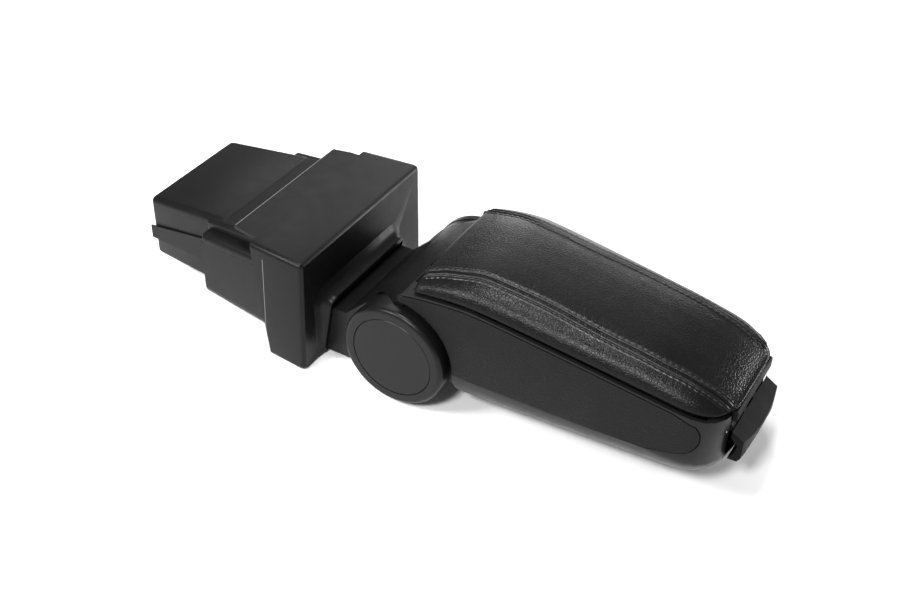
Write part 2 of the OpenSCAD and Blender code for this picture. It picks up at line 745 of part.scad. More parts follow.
// Ring of the padded cushion at x, with the hollow that takes the pan
function pad_ring(x) =
    let (rise = min(1, max(0, (x - arm_len + 10) / 7)),
         base = rim(x) + pad_gap + 3.9 * rise * rise * (3 - 2 * rise),
         top = pan_low(x) + pan_t + 0.6, w = pad_half(x), hollow = max(5, min(w - 2, pan_half(x) + 1.2)),
         crown = rim(x) + pad_gap + max(7, pad_rise(x)), n = 18)
    concat(
        [[x, -hollow, base + 0.3], [x, -hollow, top], [x, hollow, top], [x, hollow, base + 0.3]],
        [for (i = [0 : n]) let (a = 180 * i / n, c = cos(a))
            [x, (abs(c) < 0.001 ? 0 : sign(c) * w * pow(abs(c), 2 / pad_power)), base + (crown - base) * pow(sin(a), 2 / pad_power)]]);

module pad() {
    xs = concat([for (i = [0 : 3]) pad_x + 4 * (1 - cos(30 * i))], stations(pad_x + 20, arm_len, 8, 10));
    color("#1e1e1f") at_arm() loft([for (x = xs) pad_ring(x)]);
}

// Side view of the lever around its pin: grip, hub and latch nose
module lever_side() {
    root = arm_len - lever_pin_x + lever_reach;
    tip = root + lever_bow;
    polygon([[-hub_r, 0], [-hub_r, 8], [0.2, 8], [0.2, 6.8], [-1.2, 5.5], [-1, 2], [3.2, 0.5], [4.2, -2],
             [tip - 0.2, -9], [tip, -10.5], [tip - 0.5, -14], [tip - 2.5, -20], [tip - 5.5, -25], [root - 8.5, -25.5],
             [root - 5, -19.5], [root - 3.5, -12.5], [1, -4.5], [-hub_r, -2]]);
}

module release_lever() {
    bow_r = (pow(lever_w / 2, 2) + lever_bow * lever_bow) / (2 * lever_bow);
    bow_x = arm_len - lever_pin_x + lever_reach + lever_bow - bow_r;
    color("#171718") at_arm() translate([lever_pin_x, 0, lever_pin_z]) difference() {
        union() {
            intersection() {
                across(-lever_w / 2, lever_w / 2) lever_side();
                translate([bow_x, 0, -40]) cylinder(r = bow_r, h = 43, $fn = 360);
                translate([0, 0, -40]) linear_extrude(43)
                    polygon([[-5, -11], [-5, 11], [4, 11], [4, far], [far, far], [far, -far], [4, -far], [4, -11]]);
            }
            across(-11, 11) intersection() { lever_side(); translate([-5, 1]) square([6, 10]); }
            y_cylinder(hub_r, -lever_w / 2 + 1, lever_w / 2 - 1);
        }
        y_cylinder(lever_pin_r + 0.05, -far, far);
        y_cylinder(hub_r + 1, -5.5, 5.5);
        translate([-5, -5.5, -4]) cube([9, 11, 20]);
    }
}

plug_shell();
side_rail_left();
side_rail_right();
collar_shell();
hood_shell();
adapter_screws();
steel_bracket();
neck();
neck_bolts();
axle();
friction_washer_left();
friction_washer_right();
axle_nut_left();
axle_nut_right();
tub();
bush_left();
bush_right();
hinge_disc_left();
hinge_disc_right();
disc_inset_left();
disc_inset_right();
inlay_left();
inlay_right();
rear_cap();
cap_screws();
liner_mat();
lid_pins();
lever_pin();
lever_spring();
lid_pan();
pad();
pad_screws();
release_lever();
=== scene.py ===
# %% [markdown]
# # A centre armrest in Blender
# The part is a car's add-on centre armrest: a plug-in adapter of three nested plastic shells, a neck, and
# a storage arm with a stitched, padded lid. The exact solids come ready from CAD. This script dresses them
# with real finishes, makes the soft pad as a soft piece, and sets up the floor, the light and the camera.

# %% Load the frame
import math

import bmesh
import bpy
from mathutils import Matrix, Vector
from mathutils.bvhtree import BVHTree


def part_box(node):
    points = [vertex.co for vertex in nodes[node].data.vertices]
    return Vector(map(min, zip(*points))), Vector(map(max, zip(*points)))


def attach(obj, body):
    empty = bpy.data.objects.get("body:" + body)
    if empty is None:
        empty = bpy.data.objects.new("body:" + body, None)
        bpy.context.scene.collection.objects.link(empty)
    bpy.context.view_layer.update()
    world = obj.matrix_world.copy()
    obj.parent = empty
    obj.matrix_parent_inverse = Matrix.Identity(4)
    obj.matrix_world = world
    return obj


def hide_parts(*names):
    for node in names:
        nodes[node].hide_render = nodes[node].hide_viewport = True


MM = 0.001
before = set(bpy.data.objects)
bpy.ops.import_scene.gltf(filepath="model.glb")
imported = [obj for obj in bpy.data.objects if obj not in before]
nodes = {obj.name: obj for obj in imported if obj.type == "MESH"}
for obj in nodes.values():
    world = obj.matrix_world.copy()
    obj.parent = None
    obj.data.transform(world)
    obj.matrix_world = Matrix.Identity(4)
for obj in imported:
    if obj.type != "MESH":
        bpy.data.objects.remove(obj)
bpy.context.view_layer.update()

# %% [markdown]
# Three small helpers do most of the typing for materials. Blender works in linear light, while people write
# colours as sRGB hex, so one function turns one into the other. A second adds any shader node with its
# settings and links. The third starts a material and hands over its main shader.


# %% Helpers for colours and nodes
def linear(hex_text):
    """Linear RGBA of an sRGB colour written as hex."""
    channels = [int(hex_text[i:i + 2], 16) / 255 for i in (1, 3, 5)]
    return [c / 12.92 if c <= 0.04045 else ((c + 0.055) / 1.055) ** 2.4 for c in channels] + [1.0]


def add(tree, kind, settings=None, links=None, **values):
    """Adds a node. settings are its options, links go {socket: output}, values {socket name: number}."""
    node = tree.nodes.new(kind)
    for name, value in (settings or {}).items():
        setattr(node, name, value)
    for name, value in values.items():
        node.inputs[name.replace("_", " ")].default_value = value
    for name, output in (links or {}).items():
        tree.links.new(output, node.inputs[name])
    return node


def start_material(name):
    """A new material, its node tree and its Principled shader."""
    material = bpy.data.materials.new(name)
    material.use_nodes = True
    tree = material.node_tree
    return material, tree, tree.nodes["Principled BSDF"]


print("white is", linear("#ffffff"))

# %% [markdown]
# Three more helpers serve the pieces that are made here. Everything enters the scene in the same way. A new
# form is built as a bmesh, whose corners and faces can still change, and then becomes a mesh.


# %% Helpers for objects and meshes
def into_scene(name, data):
    """A new object in the scene that shows a mesh, a light or a camera."""
    thing = bpy.data.objects.new(name, data)
    bpy.context.scene.collection.objects.link(thing)
    return thing


def mesh_from(form, name):
    """The mesh of a bmesh, which is freed."""
    mesh = bpy.data.meshes.new(name)
    form.to_mesh(mesh)
    form.free()
    return mesh


def shade_smooth(mesh):
    """Shades every face of a mesh smooth."""
    for polygon in mesh.polygons:
        polygon.use_smooth = True


# %% [markdown]
# The camera comes first, because every later choice is judged through it. It has a 50 mm lens on a 36 mm
# wide frame. Its direction is written as an angle round the part, an angle above the horizon, and a slight
# roll, because these three are easier to judge by eye than a rotation in three numbers.

# %% Camera
CAMERA_PLACE = Vector((0.3584, -0.6366, 0.6275))
AZIMUTH = math.radians(28.97)
ELEVATION = math.radians(38.76)
ROLL = math.radians(2.28)

back = Vector((
    math.sin(AZIMUTH) * math.cos(ELEVATION),
    -math.cos(AZIMUTH) * math.cos(ELEVATION),
    math.sin(ELEVATION),
))
level_right = Vector((math.cos(AZIMUTH), math.sin(AZIMUTH), 0))
level_up = back.cross(level_right)
right = level_right * math.cos(ROLL) + level_up * math.sin(ROLL)
up = level_up * math.cos(ROLL) - level_right * math.sin(ROLL)

camera = into_scene("camera", bpy.data.cameras.new("camera"))
camera.data.lens = 50
camera.data.sensor_width = 36
camera.data.clip_start = 0.01
camera.matrix_world = Matrix.Translation(CAMERA_PLACE) @ Matrix((right, up, back)).transposed().to_4x4()
bpy.context.scene.camera = camera
print("camera looks along", list(-back))

# %% [markdown]
# The part lies on a plain white table. A large plane with a matt paint stands for it.

# %% Floor
FLOOR_SIZE = 8           # metres, so that its rim stays outside every view

bpy.ops.mesh.primitive_plane_add(size=FLOOR_SIZE, location=(0, 0, 0))
floor = bpy.context.object
floor.name = "floor"
floor_paint, tree, shader = start_material("matt_white_table")
shader.inputs["Base Color"].default_value = linear("#f4f4f4")
shader.inputs["Roughness"].default_value = 0.8
floor.data.materials.append(floor_paint)
print("floor:", FLOOR_SIZE, "m wide")

# %% [markdown]
# Black plastic shows its form through reflections, so the lamps are placed by what each face mirrors. Level
# tops mirror what stands behind them: three wide lamps there give them long pale sheens. Two small lamps in
# front light the near walls and the pad's side, and one overhead lights the rounded edges. The world adds an
# even white that fills the shadows.

# %% Light and world
MIDDLE = Vector((0, 0, 0.06))      # the point that every lamp looks at
LAMPS = {                          # place, width and height in metres, power in watts
    "front_left_softbox": ((-0.52, -0.75, 0.85), (0.25, 0.25), 11),
    "front_right_softbox": ((0.15, -1.4, 1.5), (0.3, 0.3), 34),
    "back_left_softbox": ((-0.6, 2.0, 0.3), (1.1, 0.5), 13),
    "back_right_softbox": ((1.3, 1.4, 0.35), (0.7, 0.4), 22),
    "back_high_softbox": ((-0.8, 1.5, 1.5), (1.3, 1.1), 10),
    "top_softbox": ((-0.15, -0.1, 1.7), (0.3, 0.3), 18),
}


def softbox(name, place, size, watts):
    """A rectangular area light at a place, turned to look at the middle of the part."""
    data = bpy.data.lights.new(name, "AREA")
    data.shape = "RECTANGLE"
    data.size, data.size_y = size
    data.energy = watts
    light = into_scene(name, data)
    light.location = place
    light.rotation_euler = (MIDDLE - Vector(place)).to_track_quat("-Z", "Y").to_euler()
    return light


lights = [softbox(name, *lamp) for name, lamp in LAMPS.items()]
world = bpy.data.worlds.new("white_room")
bpy.context.scene.world = world
world.use_nodes = True
world.node_tree.nodes["Background"].inputs["Color"].default_value = linear("#ffffff")
world.node_tree.nodes["Background"].inputs["Strength"].default_value = 0.28
bpy.context.scene.view_settings.view_transform = "Standard"
print("lights:", [light.name for light in lights])

# %% [markdown]
# Moulded plastic isn't flat. A mould that was spark eroded leaves a fine grain of about 0.1 to 0.5 mm, and
# a polished one leaves faint waves some centimetres long that bend the highlights. An image of plastic could
# be laid on the faces, but noise in real sizes needs no unfolding and fits any shape. Each plastic gets a
# grain of its own size as bump, a slow change of roughness where hands have rubbed it, and one even colour.
# The plain black ones have a grain 0.5 mm wide, the coarse end of the real range, so that it shows.

# %% Moulded plastics
WAVE_MM = 22             # length of the faint waves
RUB_MM = 9               # size of the rubbed patches
RUB_SPREAD = 0.05        # how far their roughness goes up and down


def moulded_plastic(name, colour, roughness, grain_mm, grain_depth_mm,
                    wave_depth_mm=0.05, ior=1.5, gloss=0.3):
    """Injection-moulded plastic with a spark-eroded grain over faint waves."""
    material, tree, shader = start_material(name)
    place = add(tree, "ShaderNodeTexCoord").outputs["Object"]
    grain = add(tree, "ShaderNodeTexNoise", None, {"Vector": place}, Scale=1 / (grain_mm * MM), Detail=3.0)
    waves = add(tree, "ShaderNodeTexNoise", None, {"Vector": place}, Scale=1 / (WAVE_MM * MM), Detail=1.0)
    rub = add(tree, "ShaderNodeTexNoise", None, {"Vector": place}, Scale=1 / (RUB_MM * MM), Detail=6.0)
    spread = add(tree, "ShaderNodeMapRange", None, {"Value": rub.outputs["Fac"]}, From_Min=0.3, From_Max=0.7,
                 To_Min=roughness - RUB_SPREAD, To_Max=roughness + RUB_SPREAD)
    tree.links.new(spread.outputs["Result"], shader.inputs["Roughness"])
    wave_bump = add(tree, "ShaderNodeBump", None, {"Height": waves.outputs["Fac"]},
                    Distance=wave_depth_mm * MM, Strength=1.0)
    grain_bump = add(tree, "ShaderNodeBump", None,
                     {"Height": grain.outputs["Fac"], "Normal": wave_bump.outputs["Normal"]},
                     Distance=grain_depth_mm * MM, Strength=1.0)
    tree.links.new(grain_bump.outputs["Normal"], shader.inputs["Normal"])
    shader.inputs["Base Color"].default_value = linear(colour)
    shader.inputs["IOR"].default_value = ior
    shader.inputs["Specular IOR Level"].default_value = gloss
    return material


# Spark-eroded ABS of the adapter: a dry dark grey with a soft wide sheen.
adapter_abs = moulded_plastic("spark_eroded_abs", "#101011", 0.36, 0.5, 0.02, gloss=0.14)
# Satin ABS of the arm and the hinge: smoother, with a tighter highlight.
satin_abs = moulded_plastic("satin_moulded_abs", "#0e0e0f", 0.33, 0.5, 0.01, gloss=0.17)
# Leather-grained ABS of the inlays and the rear cap: a coarse grain that breaks the light into specks.
grained_abs = moulded_plastic("leather_grained_abs", "#0c0c0d", 0.4, 1.0, 0.4,
                              wave_depth_mm=0.03, gloss=0.12)
# Dry polypropylene of the lever and the lid's pan: nearly black.
lever_plastic = moulded_plastic("dry_polypropylene", "#0a0a0b", 0.5, 0.5, 0.01, ior=1.49, gloss=0.06)
# Acetal bushes are ivory white and slippery.
acetal = moulded_plastic("moulded_acetal", "#d8d5ca", 0.35, 0.4, 0.008,
                         wave_depth_mm=0.02, ior=1.48, gloss=0.5)
print("plastics:", [m.name for m in (adapter_abs, satin_abs, grained_abs, lever_plastic, acetal)])

# %% [markdown]
# Screws, bolts, the axle and the strap inside are zinc-plated steel. Plating shows as small crystals that
# scatter the highlight. They change only the roughness, cell by cell, because the metal's colour is even.
# Real crystals are finer, and they are drawn 1.5 mm wide so that they show.

# %% Zinc-plated steel
CRYSTAL_MM = 1.5         # width of a patch of crystals


def zinc_plated_steel():
    """Bright zinc plate on steel, with patches of crystals."""
    material, tree, shader = start_material("zinc_plated_steel")
    place = add(tree, "ShaderNodeTexCoord").outputs["Object"]
    crystals = add(tree, "ShaderNodeTexVoronoi", None, {"Vector": place}, Scale=1 / (CRYSTAL_MM * MM))
    spread = add(tree, "ShaderNodeMapRange", None, {"Value": crystals.outputs["Distance"]},
                 To_Min=0.25, To_Max=0.42)
    tree.links.new(spread.outputs["Result"], shader.inputs["Roughness"])
    shader.inputs["Base Color"].default_value = linear("#b9bbbd")
    shader.inputs["Metallic"].default_value = 1.0
    return material


steel = zinc_plated_steel()
print("metal:", steel.name)

# %% [markdown]
# The mat on the storage floor is needled felt: a tangle of short polyester fibres that swallows the light.
# Hair strands would be truer but cost much for a hidden mat, so noise gives two greys and a rough bump. The
# fibres are drawn 0.8 mm wide, because real ones don't show from this distance.

# %% Pressed felt
FIBRE_MM = 0.8           # width of a tuft of fibres


def pressed_felt():
    """Needled polyester felt, with no shine."""
    material, tree, shader = start_material("pressed_felt")
    place = add(tree, "ShaderNodeTexCoord").outputs["Object"]
    fibres = add(tree, "ShaderNodeTexNoise", None, {"Vector": place}, Scale=1 / (FIBRE_MM * MM), Detail=5.0)
    tint = add(tree, "ShaderNodeValToRGB", None, {"Fac": fibres.outputs["Fac"]})
    tint.color_ramp.elements[0].color = linear("#121213")
    tint.color_ramp.elements[1].color = linear("#2e2e30")
    bump = add(tree, "ShaderNodeBump", None, {"Height": fibres.outputs["Fac"]}, Distance=0.4 * MM)
    tree.links.new(tint.outputs["Color"], shader.inputs["Base Color"])
    tree.links.new(bump.outputs["Normal"], shader.inputs["Normal"])
    shader.inputs["Roughness"].default_value = 0.95
    shader.inputs["Sheen Weight"].default_value = 0.3
    return material


felt = pressed_felt()
print("mat:", felt.name)

# %% [markdown]
# Each CAD node keeps its place and its mesh, and takes its finish through its material slot. The record
# names a slot for each node, so one small table from slot to finish dresses them all. The pad's slot isn't
# in the table, because a soft piece takes the pad's place further down.

# %% Dress the CAD nodes
FINISH_OF_SLOT = {
    "adapter_plastic": adapter_abs,
    "arm_plastic": satin_abs,
    "grained_plastic": grained_abs,
    "lever_plastic": lever_plastic,
    "steel": steel,
    "bush_plastic": acetal,
    "felt": felt,
}
dressed = 0
for node in nodes.values():
    slot = node.material_slots[0]
    if slot.material.name in FINISH_OF_SLOT:
        slot.material = FINISH_OF_SLOT[slot.material.name]
        dressed += 1
print("dressed", dressed, "nodes")

# %% [markdown]
# The CAD surfaces arrive as flat facets that don't share corners. Real mouldings are smooth, with a small
# radius on every edge where the light catches. The meshes could be remade, but modifiers leave them as they
# are and change only what is shown. The first welds the facets and smooths all but the sharp edges. The
# second rounds those edges on the large mouldings by a fraction of a millimetre.

# %% Smooth faces and soft edges
WELD_GAP = 0.004 * MM              # corners closer than this become one
SHARP_ANGLE = math.radians(28)     # an edge that bends more stays sharp
ROUNDED_ANGLE = math.radians(40)   # an edge that bends more gets a radius
EDGE_RADIUS_MM = {
    "hood_shell": 0.5,
    "collar_shell": 0.5,
    "plug_shell": 0.5,
    "neck": 0.4,
    "tub": 0.3,
    "inlay_left": 0.3,
    "inlay_right": 0.3,
    "lid_pan": 0.3,
    "release_lever": 0.4,
}


def smoothing_nodes(name):
    """A geometry tree that welds touching corners, then shades smooth except across sharp edges."""
    tree = bpy.data.node_groups.new(name, "GeometryNodeTree")
    tree.interface.new_socket("Mesh", in_out="INPUT", socket_type="NodeSocketGeometry")
    tree.interface.new_socket("Mesh", in_out="OUTPUT", socket_type="NodeSocketGeometry")
    mesh = add(tree, "NodeGroupInput").outputs[0]
    mesh = add(tree, "GeometryNodeMergeByDistance", None, {"Geometry": mesh},
               Distance=WELD_GAP).outputs["Geometry"]
    mesh = add(tree, "GeometryNodeSetMeshNormal", {"mode": "SHARPNESS"}, {"Mesh": mesh},
               Remove_Custom=True).outputs["Mesh"]
    mesh = add(tree, "GeometryNodeSetShadeSmooth", {"domain": "FACE"}, {"Geometry": mesh},
               Shade_Smooth=True).outputs["Geometry"]
    angle = add(tree, "GeometryNodeInputMeshEdgeAngle").outputs["Unsigned Angle"]
    sharp = add(tree, "FunctionNodeCompare", {"operation": "GREATER_THAN"}, {"A": angle}, B=SHARP_ANGLE)
    mesh = add(tree, "GeometryNodeSetShadeSmooth", {"domain": "EDGE"},
               {"Geometry": mesh, "Selection": sharp.outputs["Result"]},
               Shade_Smooth=False).outputs["Geometry"]
    add(tree, "NodeGroupOutput", None, {"Mesh": mesh})
    return tree


def round_edges(node, radius_mm):
    """Rounds a node's sharp edges for show."""
    edge = node.modifiers.new("edge_radius", "BEVEL")
    edge.width = radius_mm * MM
    edge.segments = 2
    edge.limit_method = "ANGLE"
    edge.angle_limit = ROUNDED_ANGLE
    edge.use_clamp_overlap = True
    edge.harden_normals = True


weld_and_smooth = smoothing_nodes("weld_and_smooth")
for name, node in nodes.items():
    node.modifiers.new("weld_and_smooth", "NODES").node_group = weld_and_smooth
    if name in EDGE_RADIUS_MM:
        round_edges(node, EDGE_RADIUS_MM[name])
print("smoothed", len(nodes), "nodes, rounded the edges of", len(EDGE_RADIUS_MM))

# %% [markdown]
# The hood is a formed shell that was cut to size with a blade, and the cut edge catches the light as a thin
# pale line. That highlight is painted: a strip of pale grey lies along the edge. The edge could be painted
# by its place in a material, but the hood bulges, and a straight border would miss it. So rays find the edge
# on the CAD hood, and a strip of thin quads follows it just above the skin.

# %% Find the hood's edges
EDGE_INSET = 0.02 * MM   # where the strip begins, measured from the cut
EDGE_WIDTH = 0.7 * MM    # where it ends
EDGE_LIFT = 0.08 * MM    # its height over the skin
SIDE_STEPS = 30          # quads along the cut on a side wall
SIDE_FOOT = 6 * MM       # from the hood's foot up to the strip on a side wall
SIDE_HEAD = 10 * MM      # and from there down to it from the hood's top
WALL_X = -0.1            # x in metres at which rays meet the hood's side walls
IN_WALL = 1.2 * MM       # depth inside the wall at which a ray meets the cut
TOP_STEPS = 40           # quads along the cut on the top
TOP_HALF = 61 * MM       # half the length of the strip there

hood = BVHTree.FromObject(nodes["hood_shell"], bpy.context.evaluated_depsgraph_get())
hood_low, hood_high = (Vector(corner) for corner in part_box("hood_shell"))


def above_hood(origin, direction):
    """The place where a ray meets the hood, a little above the skin."""
    place, normal = hood.ray_cast(origin, direction)[:2]
    return place + normal * EDGE_LIFT


def side_cut(side):
    """Point pairs along the cut on one side wall, from the foot up."""
    inward = Vector((0, -side, 0))
    length = hood_high.z - hood_low.z - SIDE_FOOT - SIDE_HEAD
    pairs = []
    for i in range(SIDE_STEPS + 1):
        z = hood_low.z + SIDE_FOOT + length * i / SIDE_STEPS
        wall_y = hood.ray_cast(Vector((WALL_X, side, z)), inward)[0].y
        cut_x = hood.ray_cast(Vector((-1, wall_y - side * IN_WALL, z)), Vector((1, 0, 0)))[0].x
        pairs.append([above_hood(Vector((cut_x + reach, side, z)), inward)
                      for reach in (EDGE_INSET, EDGE_WIDTH)])
    return pairs


def top_cut():
    """Point pairs along the cut on the top, from side to side."""
    pairs = []
    for i in range(TOP_STEPS + 1):
        y = -TOP_HALF + 2 * TOP_HALF * i / TOP_STEPS
        pairs.append([above_hood(Vector((hood_low.x + reach, y, 1)), Vector((0, 0, -1)))
                      for reach in (EDGE_INSET, EDGE_WIDTH)])
    return pairs


cuts = [side_cut(-1), side_cut(1), top_cut()]
print("cut edges, points:", [len(pairs) for pairs in cuts])

# %% [markdown]
# Each strip is a row of quads between the point pairs, in a pale grey that paints the highlight of the
# cut. A ribbon with a thickness would throw a shadow of its own, and the real cut has none, so the strips
# have none. They belong to the adapter and stay with it.

# %% Painted highlight along the hood's cut edges
form = bmesh.new()
for pairs in cuts:
    rows = [[form.verts.new(point) for point in pair] for pair in pairs]
    for a, b in zip(rows, rows[1:]):
        form.faces.new((a[0], a[1], b[1], b[0]))
painted_edge_highlights = into_scene("painted_edge_highlights", mesh_from(form, "painted_edge_highlights"))
# Painted highlight: a pale grey, dull plastic stands for the light that the hood's cut edge catches.
painted_edge_highlights.data.materials.append(moulded_plastic("painted_edge_highlight_grey", "#5c5d5e", 0.5, 0.3, 0.02))
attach(painted_edge_highlights, "adapter")
print("edge strips:", len(painted_edge_highlights.data.polygons), "quads")

# %% [markdown]
# The pad is foam under leatherette, sewn from a top panel and a side band. A foam pad isn't a block: its
# skin is pulled tight at the base and swells between the seams. The CAD pad could be remeshed, but its
# squares would then lie at random. Instead, rays from inside it find its outer surface ring by ring along
# the arm, and points at even distances on each ring give neat squares.

# %% Rings of the pad's skin
SKIN_ACROSS = 40         # squares over the pad's arch
SKIN_RAYS = 720          # rays that look for the arch
RAYS_UP = 4.6 * MM       # height of their start over the base
RAYS_UP_SHARE = 0.5      # but at most this share of the pad's height there
LIP_IN = 2.2 * MM        # width of the strip of skin that turns under the base
LIP_UP = 2.5 * MM        # how far it goes up again beside the lid's pan
LIP_UP_SHARE = 0.3       # but at most this share of the pad's height there
END_GAP = 0.01 * MM      # how far inside the pad's ends the rays start
RING_GAP = 1.6 * MM      # rings closer than this would pinch the skin
TINY = 1e-9              # the least length to divide by

pad_low, pad_high = (Vector(corner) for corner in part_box("pad"))
arm_y = (pad_low.y + pad_high.y) / 2
cad_pad = BVHTree.FromObject(nodes["pad"], bpy.context.evaluated_depsgraph_get())
corners = {}
for vertex in nodes["pad"].data.vertices:
    corners.setdefault(round(vertex.co.x, 5), []).append(vertex.co)


def evenly(line, count):
    """count + 1 points at equal distances along a line of points."""
    reached = [0.0]
    for a, b in zip(line, line[1:]):
        reached.append(reached[-1] + (b - a).length)
    points = []
    k = 0
    for i in range(count + 1):
        goal = reached[-1] * i / count
        while k < len(line) - 2 and reached[k + 1] < goal:
            k += 1
        share = (goal - reached[k]) / max(reached[k + 1] - reached[k], TINY)
        points.append(line[k].lerp(line[k + 1], share))
    return points


def pad_arch(x, height):
    """Points of the pad's outer surface over one station, found by rays from a height on its middle line."""
    inside = min(max(x, pad_low.x + END_GAP), pad_high.x - END_GAP)
    origin = Vector((inside, arm_y, height))
    arch = []
    for i in range(SKIN_RAYS + 1):
        angle = math.pi * i / SKIN_RAYS
        hit = cad_pad.ray_cast(origin, Vector((0, math.cos(angle), math.sin(angle))))[0]
        arch.append(Vector((x, hit.y, hit.z)))
    return evenly(arch, SKIN_ACROSS)


def cad_ring(x):
    """Points of the pad's outline at one CAD station: lip, left corner, arch, right corner, lip."""
    low = min(corner.z for corner in corners[x])
    high = max(corner.z for corner in corners[x])
    half = max(abs(corner.y - arm_y) for corner in corners[x])
    lip = min(LIP_UP, (high - low) * LIP_UP_SHARE)
    left, right = ([
        Vector((x, arm_y + side * half - side * LIP_IN, low + lip)),
        Vector((x, arm_y + side * half - side * LIP_IN, low)),
        Vector((x, arm_y + side * half, low)),
    ] for side in (1, -1))
    return left + pad_arch(x, low + min(RAYS_UP, (high - low) * RAYS_UP_SHARE)) + right[::-1]


stations = sorted(corners)
apart = [stations[0]]
for x in stations[1:-1]:
    if min(x - apart[-1], stations[-1] - x) > RING_GAP:
        apart.append(x)
cad_rings = [cad_ring(x) for x in apart + [stations[-1]]]
print("pad rings from CAD:", len(cad_rings), "points each:", len(cad_rings[0]))

# %% [markdown]
# The CAD rings lie up to 20 mm apart, which is right for a solid but coarse for a skin. Straight lines
# between them would show as facets, so a smooth curve through the same point of every ring gives the rings
# between them.

# %% Fill in the rings
SKIN_STEP = 3.6 * MM     # length of the skin's squares along the arm


def smooth_between(before, a, b, after, t):
    """Point between a and b on a smooth curve that also heeds their neighbours."""
    span = max(b.x - a.x, TINY)
    slope_a = (b - before) / max(b.x - before.x, TINY) * span
    slope_b = (after - a) / max(after.x - a.x, TINY) * span
    return ((2 * t ** 3 - 3 * t ** 2 + 1) * a + (t ** 3 - 2 * t ** 2 + t) * slope_a
            + (3 * t ** 2 - 2 * t ** 3) * b + (t ** 3 - t ** 2) * slope_b)


rings = []
extended = [cad_rings[0]] + cad_rings + [cad_rings[-1]]
for around in zip(extended, extended[1:], extended[2:], extended[3:]):
    pieces = max(1, round((around[2][0].x - around[1][0].x) / SKIN_STEP))
    for k in range(pieces):
        rings.append([smooth_between(*points, k / pieces) for points in zip(*around)])
rings.append(cad_rings[-1])
print("rings of the skin:", len(rings))

# %% [markdown]
# The rings are joined by squares. One face with many corners could close each end, but it would crease when
# the skin swells, so two smaller rings inside the last one lead to a small face in the middle.

# %% Join the rings and close the ends
END_RINGS = (0.7, 0.5)   # size of each ring on an end, as a share of the one outside it


def close_end(form, arch, turned):
    """Fills one end of the skin with smaller and smaller rings."""
    hub = Vector((arch[0].co.x, arm_y, (arch[0].co.z + max(v.co.z for v in arch)) / 2))
    for share in END_RINGS:
        inner = [form.verts.new(hub.lerp(v.co, share)) for v in arch]
        for k in range(len(arch)):
            j = (k + 1) % len(arch)
            quad = [arch[k], arch[j], inner[j], inner[k]]
            form.faces.new(quad[::-1] if turned else quad)
        arch = inner
    form.faces.new(arch[::-1] if turned else arch)


form = bmesh.new()
rows = [[form.verts.new(point) for point in ring] for ring in rings]
for row, following in zip(rows, rows[1:]):
    for k in range(len(row) - 1):
        form.faces.new((row[k], following[k], following[k + 1], row[k + 1]))
close_end(form, rows[0][1:-1], False)
close_end(form, rows[-1][1:-1], True)
bmesh.ops.recalc_face_normals(form, faces=form.faces)
pad = into_scene("leatherette_pad", mesh_from(form, "leatherette_pad"))
squares = pad.data.polygons
print("pad skin:", len(squares), "squares, top faces up:", sum(p.normal.z > 0.9 for p in squares))

# %% [markdown]
# Now the skin swells. It is drawn in a little, and its turned-under lip is held. It could be pushed out by a
# formula, but cloth with air pressure inside finds by itself where a held skin bulges most. It runs for 20
# frames without gravity. How far a point may move is capped, so that the pad still fits its place, and the
# moves are evened out, as the foam's stiffness does.

# %% Let the pad swell
PAD_SHRINK = 0.8 * MM    # how far the skin is drawn in before it swells
PAD_SWELL = 1.8 * MM     # the most that a point may move out
PRESSURE = 4
CLOTH_FRAMES = 20
EASING = 25              # rounds of evening out
LIP_POINTS = 3           # points at each end of a ring that belong to the lip


def evaluated_copy(piece):
    """A new mesh with the object's modifiers in it."""
    bpy.context.view_layer.update()
    return bpy.data.meshes.new_from_object(piece.evaluated_get(bpy.context.evaluated_depsgraph_get()))


def blown_up(piece):
    """The mesh of a closed skin after cloth has run with air pressure inside."""
    cloth = piece.modifiers.new("swelling", "CLOTH")
    cloth.settings.use_pressure = True
    cloth.settings.uniform_pressure_force = PRESSURE
    cloth.settings.vertex_group_mass = "held"
    cloth.settings.effector_weights.gravity = 0
    for frame_number in range(1, CLOTH_FRAMES + 1):
        bpy.context.scene.frame_set(frame_number)
    swollen = evaluated_copy(piece)
    piece.modifiers.clear()
    bpy.context.scene.frame_set(1)
    return swollen


def eased(moves, edges):
    """Moves evened out with those of the neighbouring points."""
    neighbours = [[] for _ in moves]
    for edge in edges:
        a, b = edge.vertices
        neighbours[a].append(b)
        neighbours[b].append(a)
    for _ in range(EASING):
        moves = [(moves[i] + sum(moves[j] for j in near) / len(near)) / 2
                 for i, near in enumerate(neighbours)]
    return moves


held = pad.vertex_groups.new(name="held")
ring_points = len(rings[0])
for vertex in pad.data.vertices:
    place_in_ring = vertex.index % ring_points
    in_lip = place_in_ring < LIP_POINTS or place_in_ring >= ring_points - LIP_POINTS
    if vertex.index < ring_points * len(rings) and in_lip:
        held.add([vertex.index], 1.0, "REPLACE")
    else:
        vertex.co -= vertex.normal * PAD_SHRINK
start = [vertex.co.copy() for vertex in pad.data.vertices]

swollen = blown_up(pad)
outward = [vertex.normal.copy() for vertex in pad.data.vertices]
moves = [max(0, (goal.co - place).dot(normal))
         for place, goal, normal in zip(start, swollen.vertices, outward)]
print("longest cloth move", round(max(moves) / MM, 2), "mm, capped at", PAD_SWELL / MM)
moves = eased([PAD_SWELL * math.tanh(move / PAD_SWELL) for move in moves], pad.data.edges)
for vertex, place, move, normal in zip(pad.data.vertices, start, moves, outward):
    vertex.co = place + normal * move

subdivision = pad.modifiers.new("fine_skin", "SUBSURF")
subdivision.levels = subdivision.render_levels = 2
pad.data = evaluated_copy(pad)
pad.modifiers.clear()
shade_smooth(pad.data)
print("fine pad skin:", len(pad.data.polygons), "faces")

